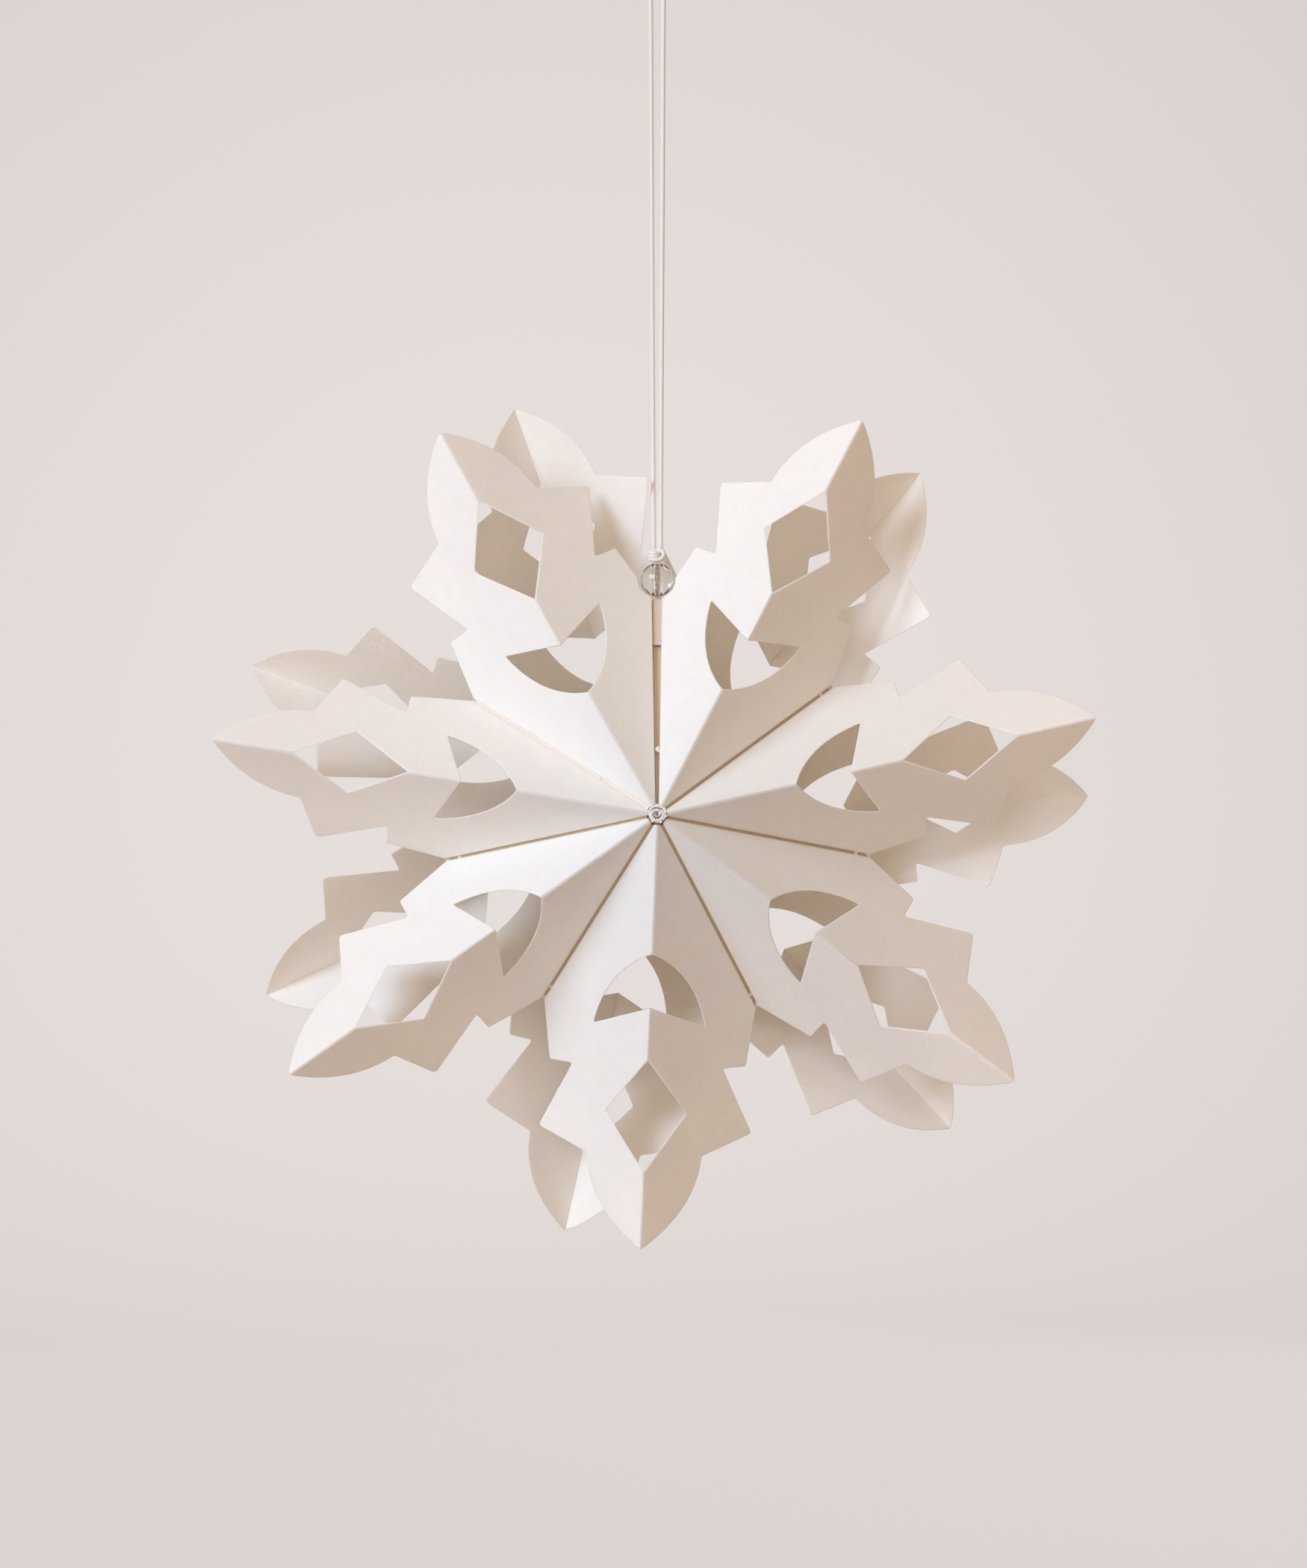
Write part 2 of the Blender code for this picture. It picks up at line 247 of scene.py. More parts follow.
# %% Cord route
STAR_DROP = 236.0 * MM
CORD_D = 1.3 * MM
LOOP_RADIUS = 3.2 * MM
LOOP_NECK = 4.2 * LOOP_RADIUS
STRAND_TOP, STRAND_LOW = 1.75 * MM, 0.95 * MM
BEAD_D, BEAD_HOLE, BEAD_RISE = 9.2 * MM, 2.6 * MM, 64.4 * MM
KNOT_H = 3.8 * MM
FIT_AIR = 0.3 * MM
bead_z = -STAR_DROP + BEAD_RISE
knot_top = bead_z + BEAD_D / 2 + KNOT_H + 2 * FIT_AIR


def cord_route(straight=28, neck=5, bend=8):
    """The route's points; straight, neck and bend count the steps of each stretch."""
    top, shoulder = CORD_D / 2, -LOOP_NECK
    right = []
    for k in range(straight):
        u = k / straight
        right.append((STRAND_LOW + (STRAND_TOP - STRAND_LOW) * u,
                      knot_top + (shoulder - knot_top) * u))
    for k in range(neck):
        u = k / neck
        ease = u * u * (3 - 2 * u)
        right.append((STRAND_TOP + (LOOP_RADIUS - STRAND_TOP) * ease,
                      shoulder + (top - LOOP_RADIUS - shoulder) * u))
    for k in range(bend + 1):
        a = math.pi / 2 * k / bend
        right.append((LOOP_RADIUS * math.cos(a), top - LOOP_RADIUS + LOOP_RADIUS * math.sin(a)))
    left = [(-x, z) for x, z in reversed(right[:-1])]
    return [(x, 0.0, z) for x, z in right + left]


route = cord_route()
print("cord route: %d points" % len(route))

# %% [markdown]
# ## Hang the cord
# The loop is one free cord that goes out of the knot and back into it. It could be left as
# its smooth solid, but the twist is what shows near the bead.

# %% Hanging cord
cord_ob, cord_length = twisted_tube("cord_loop", route, CORD_D, cord_mat)
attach(cord_ob, "cord")
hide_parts("hanging_loop")
print("cord: %.0f mm of %.1f mm cord" % (cord_length * 1000, CORD_D * 1000))

# %% [markdown]
# ## Card finish
# The card is off-white and uncoated, with a fine felt mark that shows as small worm-like
# bumps about half a millimetre apart. An image of paper could be wrapped round the panels,
# but noise in space needs no unwrapping and has the same scale on every panel. Three noises
# make the height: a large soft unevenness that keeps big faces from looking machined, the
# felt mark, and single fibres. A fourth drifts the colour by a few percent. Light that goes
# into the card comes out again close by, so a thin sheet glows a little when it is lit from
# behind.

# %% Card finish
CARD_TONES = ((0.932, 0.887, 0.816), (0.948, 0.906, 0.838))
card_mat, shader = mottled("felt_marked_card", CARD_TONES, 0.86, 240.0, detail=3.0,
                           spread=(0.3, 0.7))
UNEVEN = {"Scale": 42.0, "Detail": 2.0, "Roughness": 0.4}
FELT = {"Scale": 1500.0, "Detail": 3.0, "Roughness": 0.55, "Distortion": 0.6}
FIBRE = {"Scale": 6500.0, "Detail": 2.0, "Roughness": 0.5}
tree = card_mat.node_tree
place = node(tree, "ShaderNodeTexCoord")
under = None
for kind, strength, height in ((UNEVEN, 0.35, 0.0004), (FELT, 0.85, 0.00013),
                               (FIBRE, 0.40, 0.00005)):
    noise = node(tree, "ShaderNodeTexNoise", **kind)
    bump = node(tree, "ShaderNodeBump", Strength=strength, Distance=height)
    join(tree, place, "Object", noise, "Vector")
    join(tree, noise, "Fac", bump, "Height")
    if under:
        join(tree, under, "Normal", bump, "Normal")
    under = bump
join(tree, under, "Normal", shader, "Normal")
shader.inputs["Specular IOR Level"].default_value = 0.28
shader.inputs["Subsurface Weight"].default_value = 0.5
shader.inputs["Subsurface Radius"].default_value = (1.0, 0.68, 0.42)
shader.inputs["Subsurface Scale"].default_value = 0.0016
print("finish:", card_mat.name)

# %% [markdown]
# ## Sizes of the card
# The sizes are the ones that the solids were made with, so that the finer panels land on
# them. They could be read back from the solids' boxes, but a box can't say where a crease
# runs. A page lies along x with the spine at zero, z runs from the rear ridge to the front
# ridge, and y goes through the thickness of the closed tube.

# %% Card sizes
CARD = 0.35 * MM
HALF_DEPTH = 42.0 * MM
TIP = 121.0 * MM
GUSSET_END, GUSSET_TIP = 58.0 * MM, 5.0 * MM
HUB_GAP, FOLD_GAP, SEAM_GAP = 1.2 * MM, 0.10 * MM, 0.80 * MM
GUSSET_AZIMUTH = (91.0, 148.5, 192.3, 238.0, 297.5, 349.0, 396.0, 449.0)
REAR_TWIST = math.radians(10.4)
SLOPE = math.atan2(HALF_DEPTH - GUSSET_TIP, GUSSET_END)
PAGE_A, STACK = CARD + FOLD_GAP, 2 * CARD + FOLD_GAP
UP, ALONG = Vector((0.0, 0.0, 1.0)), Vector((1.0, 0.0, 0.0))
FRONT_DIR = Vector((math.cos(SLOPE), 0.0, -math.sin(SLOPE)))
REAR_DIR = Vector((math.cos(SLOPE), 0.0, math.sin(SLOPE)))
RIDGE = Vector((0.0, CARD + FOLD_GAP / 2, HALF_DEPTH))
print("the gusset folds slope at %.1f degrees" % math.degrees(SLOPE))

# %% [markdown]
# ## Fold angles
# Each point is a flat tube of card opened to its share of the circle. Two angles follow
# from that share: the fold at the gusset and the opening at the ridge. They could be set by
# eye, but then the tube wouldn't close, so both come from how a flat sheet can fold.


# %% Fold angles
def about(point, axis, angle):
    """A turn about an axis through a point."""
    shift = Matrix.Translation(point)
    return shift @ Matrix.Rotation(angle, 4, axis) @ shift.inverted()


def fold_angles(half_sector):
    """Gusset fold and ridge opening of a point that spans twice half_sector."""
    a, b = math.cos(SLOPE) * math.cos(half_sector), math.sin(SLOPE)
    tilt = math.atan2(b, a) - math.acos(math.cos(SLOPE) / math.hypot(a, b))
    edge = Vector((a, math.cos(SLOPE) * math.sin(half_sector), -b))
    ridge = Vector((math.cos(tilt), 0.0, -math.sin(tilt)))
    face = ridge.cross(edge).normalized()
    fold = face.angle(Vector((-math.sin(half_sector), math.cos(half_sector), 0.0)))
    opening = 2 * face.angle(Vector((0.0, 1.0, 0.0)))
    return min(fold, math.pi - fold), min(opening, 2 * math.pi - opening)


even_share = fold_angles(math.pi / 7)
print("an even seventh: gusset fold %.1f, ridge opening %.1f degrees"
      % tuple(math.degrees(angle) for angle in even_share))

# %% [markdown]
# ## Stand the points
# The points stand round the spine like opened pages, each glued to the next. Placing them
# by hand would leave gaps, so the chain of turns that places the solids is repeated: across
# a gusset fold, over the ridge, across the next gusset fold, then on to the next page. The
# rear half of each point is turned a little against its front half, as in the photograph.


# %% Stand the points
def still_point(turn):
    """The point of a page that a turn about UP leaves where it is."""
    c, s, tx, ty = turn[0][0], turn[1][0], turn[0][3], turn[1][3]
    det = (1 - c) ** 2 + s ** 2
    return Vector((((1 - c) * tx - s * ty) / det, (s * tx + (1 - c) * ty) / det, 0.0))


def stand_points():
    """Fold, opening and placement matrices of each point, as in the solids."""
    first = math.radians(GUSSET_AZIMUTH[0])
    page = Matrix(((math.cos(first), -math.sin(first), 0, 0), (0, 0, -1, 0),
                   (math.sin(first), math.cos(first), 0, 0), (0, 0, 0, 1)))
    rows = []
    for low, high in zip(GUSSET_AZIMUTH, GUSSET_AZIMUTH[1:]):
        fold, opening = fold_angles(math.radians(high - low) / 2)
        front_b = page @ about(Vector((0, 0, HALF_DEPTH)), FRONT_DIR, -fold)
        front_a = front_b @ about(RIDGE, ALONG, opening)
        end = front_a @ about(Vector((0, STACK, HALF_DEPTH)), FRONT_DIR, -fold)
        twist = about(still_point(page.inverted() @ end), UP, -REAR_TWIST)
        rear_b = page @ twist @ about(Vector((0, 0, -HALF_DEPTH)), REAR_DIR, fold)
        rear_a = end @ twist @ about(Vector((0, STACK, -HALF_DEPTH)), REAR_DIR, -fold)
        places = {"page_b": page, "page_a": end, "rear_page_a": end @ twist,
                  "front_b": front_b, "front_a": front_a, "rear_b": rear_b, "rear_a": rear_a}
        rows.append({"fold": fold, "open": opening, "places": places})
        page = end @ Matrix.Translation((0, STACK + SEAM_GAP, 0))
    spots = [r["places"]["page_b"].translation for r in rows]
    spots += [r["places"]["page_a"] @ Vector((0, STACK, 0)) for r in rows]
    mean = sum(spots, Vector()) / len(spots)
    shift = Matrix.Translation(Vector((-mean.x, 0, -STAR_DROP - mean.z)))
    for r in rows:
        r["places"] = {key: shift @ place for key, place in r["places"].items()}
    return rows


points_of_star = stand_points()
for i, r in enumerate(points_of_star):
    print("point %d: gusset fold %.1f, ridge opening %.1f degrees"
          % (i + 1, math.degrees(r["fold"]), math.degrees(r["open"])))

# %% [markdown]
# ## Corners and curves of the die
# A die cuts the card, and a die has slightly rounded corners. Sharp corners would be
# simpler, but they catch no light. So `curve` draws the bowed cuts and `soften` swaps each
# corner for a short arc that uses at most a share of the straight on either side.

# %% Curves of the die
ARC_SHARE = 0.45


def curve(p0, p1, p2, steps):
    """Points after p0 on a quadratic curve that ends at p2."""
    out = []
    for i in range(1, steps + 1):
        u = i / steps
        out.append(tuple((1 - u) ** 2 * a + 2 * u * (1 - u) * b + u * u * c
                         for a, b, c in zip(p0, p1, p2)))
    return out


def soften(before, corner, after, radius, steps=5):
    """A short arc in place of a corner."""
    c = Vector(corner)
    a, b = (Vector(before) - c).normalized(), (Vector(after) - c).normalized()
    half = a.angle(b) / 2
    reach = min(radius / math.tan(half), ARC_SHARE * (Vector(before) - c).length,
                ARC_SHARE * (Vector(after) - c).length)
    start, end = c + a * reach, c + b * reach
    return [tuple(start)] + curve(tuple(start), corner, tuple(end), steps)


print("a corner becomes %d points" % len(soften((0.0, 5.0), (0.0, 0.0), (5.0, 0.0), 1.0)))

# %% [markdown]
# ## The cut line
# All the panels are cut alike: an arch, a diamond, two spurs and a leaf-shaped tip. The line
# could be traced for each point, but one die made them all, so it was read on two points
# and averaged. It is drawn in flat card, in millimetres, with x out from the spine and d in
# from the ridge. Each point of the line keeps a mark that says whether it lies on the
# ridge, on the gusset fold or on a cut. Beside the bead the edge is bowed in a little.

# %% Cut line
ARCH_APEX, ARCH_FOOT, ARCH_CORNER, ARCH_BULGE = 37.0, 52.0, (60.5, 19.3), 7.0
DIAMOND_IN, DIAMOND_OUT, DIAMOND_CORNER = 66.8, 98.5, (84.4, 14.0)
SPUR_1, NOTCH_1, SPUR_2, NOTCH_2 = (74.5, 34.4), (73.7, 26.2), (94.5, 37.6), (97.9, 20.0)
LEAF_CONTROL = (113.0, 19.0)
ARCH_STEPS, LEAF_STEPS, DISH_STEPS = 18, 22, 12
ARCH_ROUND, DIAMOND_ROUND = 0.35, 0.8
NOTCH_2_ROUND, SPUR_2_ROUND, NOTCH_1_ROUND, SPUR_1_ROUND = 0.8, 1.0, 0.6, 0.7
DISH_LENGTH, DISH_DEPTH, DISH_POWER = 6.4, 1.68, 0.9
HUB_END = (HUB_GAP / MM, HUB_GAP / MM * math.tan(SLOPE))
OUTER_END = (GUSSET_END / MM, (HALF_DEPTH - GUSSET_TIP) / MM)


def arch_control():
    """The control point that bows the arch out from its chord."""
    chord = (ARCH_CORNER[0] - ARCH_APEX, ARCH_CORNER[1])
    size = math.hypot(*chord)
    return (ARCH_APEX + chord[0] / 2 - ARCH_BULGE * chord[1] / size,
            chord[1] / 2 + ARCH_BULGE * chord[0] / size)


def dished_edge():
    """The edge beside the bead, bowed in between the first spur and the gusset fold."""
    along = (Vector(SPUR_1) - Vector(OUTER_END)).normalized()
    across = Vector((along.y, -along.x))
    edge = []
    for k in range(DISH_STEPS):
        spot = Vector(OUTER_END) + along * DISH_LENGTH * (1 - k / DISH_STEPS)
        spot += across * DISH_DEPTH * math.sin(math.pi * k / DISH_STEPS) ** DISH_POWER
        edge.append((spot.x, spot.y))
    return edge


def cut_line(dished=False):
    """(x, d, mark) round a panel; mark r is the ridge, g the gusset fold, c a cut."""
    arch = curve((ARCH_APEX, 0.0), arch_control(), ARCH_CORNER, ARCH_STEPS)
    arch_foot, tip = (ARCH_FOOT, 0.0), (TIP / MM, 0.0)
    diamond_in, diamond_out = (DIAMOND_IN, 0.0), (DIAMOND_OUT, 0.0)
    leaf = curve(tip, LEAF_CONTROL, NOTCH_2, LEAF_STEPS)
    outside = leaf[:-1]
    outside += soften(leaf[-2], NOTCH_2, SPUR_2, NOTCH_2_ROUND)
    outside += soften(NOTCH_2, SPUR_2, NOTCH_1, SPUR_2_ROUND)
    outside += soften(SPUR_2, NOTCH_1, SPUR_1, NOTCH_1_ROUND)
    outside += soften(NOTCH_1, SPUR_1, OUTER_END, SPUR_1_ROUND)
    outside += dished_edge() if dished else []
    stretches = (
        ("r", [(HUB_END[0], 0.0), (ARCH_APEX, 0.0)]),
        ("c", arch[:-1] + soften(arch[-2], ARCH_CORNER, arch_foot, ARCH_ROUND)),
        ("r", [arch_foot, diamond_in]),
        ("c", soften(diamond_in, DIAMOND_CORNER, diamond_out, DIAMOND_ROUND)),
        ("r", [diamond_out, tip]),
        ("c", outside),
        ("g", [OUTER_END, HUB_END]))
    return [(x, d, mark) for mark, stretch in stretches for x, d in stretch]


print("cut line: %d points, %d with the dished edge" % (len(cut_line()), len(cut_line(True))))

# %% [markdown]
# ## Sections through the card's edge
# A panel could be a flat sheet with a Solidify modifier, but then its edges are knife-sharp
# and the creases are gaps. Real card bends: the ridge has a soft outside radius, the gusset
# fold rolls into the slot, and the die presses each cut edge into a tiny pillow that shows
# as a pale rim. So each kind of edge gets a small section of its own, given as the way
# inward from the edge and the height in the card's thickness.

# %% Edge sections
RIDGE_RADIUS, ROLL_RADIUS = 0.80 * MM, 0.60 * MM
RIDGE_CLOSES = 0.92  # share of the gap at the ridge that the two panels close
PILLOW, PRESS = 0.52 * MM, 0.105 * MM
INNER_RIM = ((0.8, 0.0), (0.3, 0.25), (0.0, 0.9))
OUTER_RIM = ((0.0, 1.1), (0.10, 0.62), (0.25, 0.36), (0.48, 0.15), (0.75, 0.03), (1.0, 0.0))


def bend_section(start, centre, radius, angle, steps=6):
    """From the inside of a bend straight up to its outside, then round to the face."""
    arc = [(centre[0] - radius * math.sin(angle * (1 - k / steps)),
            centre[1] + radius * math.cos(angle * (1 - k / steps))) for k in range(steps + 1)]
    return [(start, 0.0), ((start + arc[0][0]) / 2, arc[0][1] / 2)] + arc


def ridge_section(opening):
    """The ridge, whose two panels meet at the middle plane of the point."""
    lean = math.pi / 2 - opening / 2
    meet = -RIDGE_CLOSES * FOLD_GAP / 2 * math.tan(lean)
    inset = (RIDGE_RADIUS / CARD - 1) * (CARD * math.tan(lean))
    return bend_section(meet, (meet + inset, CARD - RIDGE_RADIUS), RIDGE_RADIUS, lean)


def roll_section(fold):
    """The gusset fold, which rolls from the face into the slot."""
    centre = (ROLL_RADIUS * math.tan(fold / 2), CARD - ROLL_RADIUS)
    return bend_section(CARD * math.tan(fold / 2), centre, ROLL_RADIUS, fold)


def cut_section():
    """The pressed edge, from the inside face to the outside face."""
    return ([(PILLOW * a, PRESS * b) for a, b in INNER_RIM]
            + [(PILLOW * a, CARD - PRESS * b) for a, b in OUTER_RIM])


print("sections: ridge %d, roll %d, cut %d steps"
      % (len(ridge_section(1.6)), len(roll_section(1.0)), len(cut_section())))

# %% [markdown]
# ## How the edges run round a panel
# The sections have to point into the card at every point of the cut line. One fixed
# direction would fold them over at the spurs, so each takes the mean of its two straights,
# with a limit at sharp corners. Where a cut crosses the ridge, the pressed rim also has to
# draw back along the ridge, or it would stand proud there.

# %% Edge directions
MITRE_LIMIT = 0.6
NO_LENGTH = 1e-6


def inward_normals(line):
    """Directions into the card at each point of the cut line, with a mitre."""
    n = len(line)
    area = sum(line[i - 1][0] * line[i][1] - line[i][0] * line[i - 1][1] for i in range(n))
    sign = 1.0 if area > 0 else -1.0
    out = []
    for i in range(n):
        p, a, b = Vector(line[i][:2]), Vector(line[i - 1][:2]), Vector(line[(i + 1) % n][:2])
        e1, e2 = (p - a).normalized(), (b - p).normalized()
        n1, n2 = Vector((-e1.y, e1.x)) * sign, Vector((-e2.y, e2.x)) * sign
        m = n1 + n2
        m = m.normalized() if m.length > NO_LENGTH else n1
        out.append(m / max(m.dot(n1), MITRE_LIMIT))
    return out


def ridge_ends(line):
    """How far the rim draws back along the ridge where a cut crosses it, by index."""
    back = {}
    for i, (x, d, mark) in enumerate(line):
        if mark != "r" or i == 0:
            continue
        inner = line[i - 1] if line[i - 1][2] == "r" else line[i + 1]
        cut = line[i + 1] if line[i - 1][2] == "r" else line[i - 1]
        sign = 1.0 if inner[0] > x else -1.0
        theta = Vector((sign, 0.0)).angle(Vector((cut[0] - x, cut[1] - d)))
        back[i] = (sign / math.sin(theta), math.cos(theta))
    return back


print("cuts cross the ridge at %d places" % len(ridge_ends(cut_line())))

# %% [markdown]
# ## One panel
# A panel is half of one side of a point. It could be cut from a thick sheet with booleans,
# but those leave ragged faces at the rims. So the sections are set at every point of the
# cut line and lofted round the outline, and the two faces close it. The b page lies on one
# side of the fold and the a page on the other, so their thickness grows opposite ways.

# %% One panel
FLAT_STEPS = 2  # steps of a section that stay on the inside when the rim draws back


def card_panel(name, place, side, page, fold, opening, dished=False):
    """Half of one point. side is +1 in front, -1 behind; page is b or a."""
    outline = cut_line(dished)
    sections = {"r": ridge_section(opening), "g": roll_section(fold), "c": cut_section()}
    into = {"r": Vector((0.0, 1.0)), "g": Vector((math.sin(SLOPE), -math.cos(SLOPE)))}
    base, grow = (CARD, -1.0) if page == "b" else (PAGE_A, 1.0)
    rings, n = len(sections["c"]), len(outline)
    back = ridge_ends(outline)
    pts, flat, faces = [], [], []
    for i, ((x, d, mark), normal) in enumerate(zip(outline, inward_normals(outline))):
        direction = into.get(mark, normal)
        for k, (inward, height) in enumerate(sections[mark]):
            px, pd = x * MM + direction.x * inward, d * MM + direction.y * inward
            if i in back:
                share = max(0.0, (k - FLAT_STEPS) / (rings - 1 - FLAT_STEPS))
                px += back[i][0] * (PILLOW * share + max(inward, 0.0) * back[i][1])
            pts.append(place @ Vector((px, base + grow * height, side * (HALF_DEPTH - pd))))
            flat.append(Vector((px, pd, 0.0)))
    for i in range(n):
        j = (i + 1) % n
        for k in range(rings - 1):
            faces.append((i * rings + k, j * rings + k, j * rings + k + 1, i * rings + k + 1))
    for k in (0, rings - 1):
        loop = [i * rings + k for i in range(n)]
        triangles = tessellate_polygon([[flat[v] for v in loop]])
        faces += [tuple(loop[v] for v in tri) for tri in triangles]
    return add_mesh(name, pts, faces, card_mat)


print("panel builder ready: %d steps in each section" % len(cut_section()))

# %% [markdown]
# ## All the panels
# Seven points have four panels each: front and rear, and the b page and the a page of each
# half. Every panel takes the place of its solid and rides on the same body, so that it
# folds with it. The two front panels beside the bead get the dished edge. Each panel's box
# is compared with its solid's, which shows at once if a panel landed in the wrong place.

# %% Panels
BESIDE_BEAD = ("point1_front_cw", "point7_front_ccw")


def box_miss(ob, cad):
    """The largest difference between a piece's box and its solid's."""
    low, high = (np.array(corner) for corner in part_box(cad))
    mine = np.array([v.co for v in ob.data.vertices])
    return max(np.abs(mine.min(0) - low).max(), np.abs(mine.max(0) - high).max())


worst, count = 0.0, 0
for i, r in enumerate(points_of_star):
    for half, side in (("front", 1), ("rear", -1)):
        for page, hand in (("b", "cw"), ("a", "ccw")):
            cad = "point%d_%s_%s" % (i + 1, half, hand)
            piece = card_panel("card_" + cad, r["places"][half + "_" + page], side, page,
                               r["fold"], r["open"], dished=cad in BESIDE_BEAD)
            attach(piece, cad)
            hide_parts(cad)
            worst, count = max(worst, box_miss(piece, cad)), count + 1
print("%d panels; their boxes differ from the solids by at most %.2f mm"
      % (count, worst * 1000))

# %% [markdown]
# ## Gussets and glue
# The gussets are the middles of the pages. They run back into the star side by side, with a
# narrow slot between them that reads as a warm dark line. Their solids already have the
# right shape, so they only take the card's finish. The glue between them is a dried milky
# drop in each slot, so it keeps its solid too and gets a slightly glossy finish.

# %% Gussets and glue
glue_mat, _ = mottled("dried_glue", ((0.80, 0.76, 0.70), (0.90, 0.88, 0.84)), 0.35, 1800.0,
                      lift=(0.3, 0.0001))


def refinish(ob, material):
    """Give a solid one finish in place of its own."""
    ob.data.materials.clear()
    ob.data.materials.append(material)


gussets = [ob for name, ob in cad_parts.items() if "_gusset_" in name]
drops = [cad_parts["glue%d" % k] for k in range(1, 7)]
for ob in gussets:
    refinish(ob, card_mat)
for ob in drops:
    refinish(ob, glue_mat)
print("%d gussets and %d drops of glue finished" % (len(gussets), len(drops)))

# %% [markdown]
# ## Ribbons for the valleys
# Looking into a valley, the two pages meet about a millimetre down, where the glue holds
# them, and the slot above reads as a golden brown line. Left open it would be a black slit.
# A thin ribbon, hollowed along its middle, gives the slot its floor, and its brown is painted
# shade of the deep slot, over the glue where a valley is glued. The same ribbon in a paler tan
# makes the paper tab in the top valley, its tan a painted shade, and in cream, a lighter
# painted shade, it makes the one seam that is pressed nearly shut.

# %% Ribbon builder
LAP = 0.03 * MM
SEAM_FINISH = {"roughness": 0.6, "scale": 700.0, "detail": 3.0, "lift": (0.4, 0.0002)}
# Brown: painted shade of the deep slot, over the glue where a valley is glued.
slot_shade_mat, _ = mottled("slot_painted_shade", ((0.56, 0.42, 0.27), (0.68, 0.54, 0.37)),
                      **SEAM_FINISH)
# Tan: painted shade on the paper tab in the top valley.
tab_shade_mat, _ = mottled("tab_painted_shade", ((0.60, 0.49, 0.40), (0.68, 0.57, 0.48)), **SEAM_FINISH)
# Cream: a lighter painted shade for the seam pressed nearly shut.
closed_seam_shade_mat, _ = mottled("closed_seam_painted_shade", ((0.80, 0.71, 0.60), (0.86, 0.78, 0.68)),
                      **SEAM_FINISH)


def slot_ribbon(name, place, side, ends, width, depth, material, sag=0.18 * MM, thick=0.25 * MM,
              steps=40, across=6):
    """A hollow ribbon in a slot; place is the page frame whose outer face is at STACK."""
    first, last = ends
    rows = [(k / across, 0.0) for k in range(across + 1)]
    rows += [(u, thick) for u, _ in reversed(rows)]
    pts, n = [], len(rows)
    for i in range(steps + 1):
        x = first + (last - first) * i / steps
        top = HALF_DEPTH - x * math.tan(SLOPE) - depth
        for u, drop in rows:
            pts.append(place @ Vector((x, STACK - LAP + width(x) * u,
                                       side * (top - drop - sag * 4 * u * (1 - u)))))
    faces = [(i * n + k, i * n + (k + 1) % n, (i + 1) * n + (k + 1) % n, (i + 1) * n + k)
             for i in range(steps) for k in range(n)]
    faces += [tuple(range(n)), tuple(steps * n + k for k in range(n))]
    return add_mesh(name, pts, faces, material)


print("ribbon finishes:", slot_shade_mat.name, tab_shade_mat.name, closed_seam_shade_mat.name)

# %% [markdown]
# ## Shade lines in the valleys
# Six valleys are glued, so each has one ribbon in front and one behind, which ride with the
# seam between the two pages. The top valley isn't glued. It opens a little outward, so its
# ribbons widen along the slot, and they hang on the end page alone, or they would bridge
# the gap when the star folds.

# %% Shade lines
SEAM_LAP, TOP_AIR, TOP_SHARE = 0.06 * MM, 0.05 * MM, 0.97
SLOT_IN, SLOT_OUT = 1.4, 57.0
CLOSED_DEPTH, GLUED_DEPTH, TOP_DEPTH, TAB_DEPTH = 0.3, 0.9, 2.0, 0.8
TAB_IN, TAB_OUT, TOP_LINE_OUT = 44.5, 57.4, 45.5
gap_open = math.radians(GUSSET_AZIMUTH[0] + 360.0 - GUSSET_AZIMUTH[-1])


def glued_width(x):
    """A glued slot has one width and laps both pages."""
    return SEAM_GAP + SEAM_LAP


def top_width(x):
    """The top slot opens outward and stays clear of the far page."""
    return SEAM_GAP - TOP_AIR + x * math.tan(gap_open) * TOP_SHARE


ribbons = 0
for k in range(6):
    # The first seam is nearly shut and gets the lighter painted shade; the others get the brown
    # painted shade.
    depth, finish = (CLOSED_DEPTH, closed_seam_shade_mat) if k == 0 else (GLUED_DEPTH, slot_shade_mat)
    for face, page, side in (("front", "page_a", 1), ("rear", "rear_page_a", -1)):
        ribbon = slot_ribbon("glue_line_%s_%d" % (face, k + 1), points_of_star[k]["places"][page],
                           side, (SLOT_IN * MM, SLOT_OUT * MM), glued_width, depth * MM, finish)
        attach(ribbon, "seam%d" % (k + 1))
        ribbons += 1
# The top valley isn't glued: its brown line and tan tab are painted shade only.
for name, page, side, first, last, depth, finish in (
        ("top_valley_line", "page_a", 1, SLOT_IN, TOP_LINE_OUT, TOP_DEPTH, slot_shade_mat),
        ("top_valley_tab", "page_a", 1, TAB_IN, TAB_OUT, TAB_DEPTH, tab_shade_mat),
        ("top_valley_line_rear", "rear_page_a", -1, SLOT_IN, SLOT_OUT, TOP_DEPTH, slot_shade_mat)):
    ribbon = slot_ribbon(name, points_of_star[6]["places"][page], side, (first * MM, last * MM),
                       top_width, depth * MM, finish)
    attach(ribbon, "end_page")
    ribbons += 1
print("%d ribbons in the valleys" % ribbons)

# %% [markdown]
# ## Two dots of glue
# A little glue was pressed out of two valleys and dried as white dots near the centre. A
# ball would look like a pin, so each is a small sphere pushed out of round by a fixed sum
# of waves, half sunk between the pages.

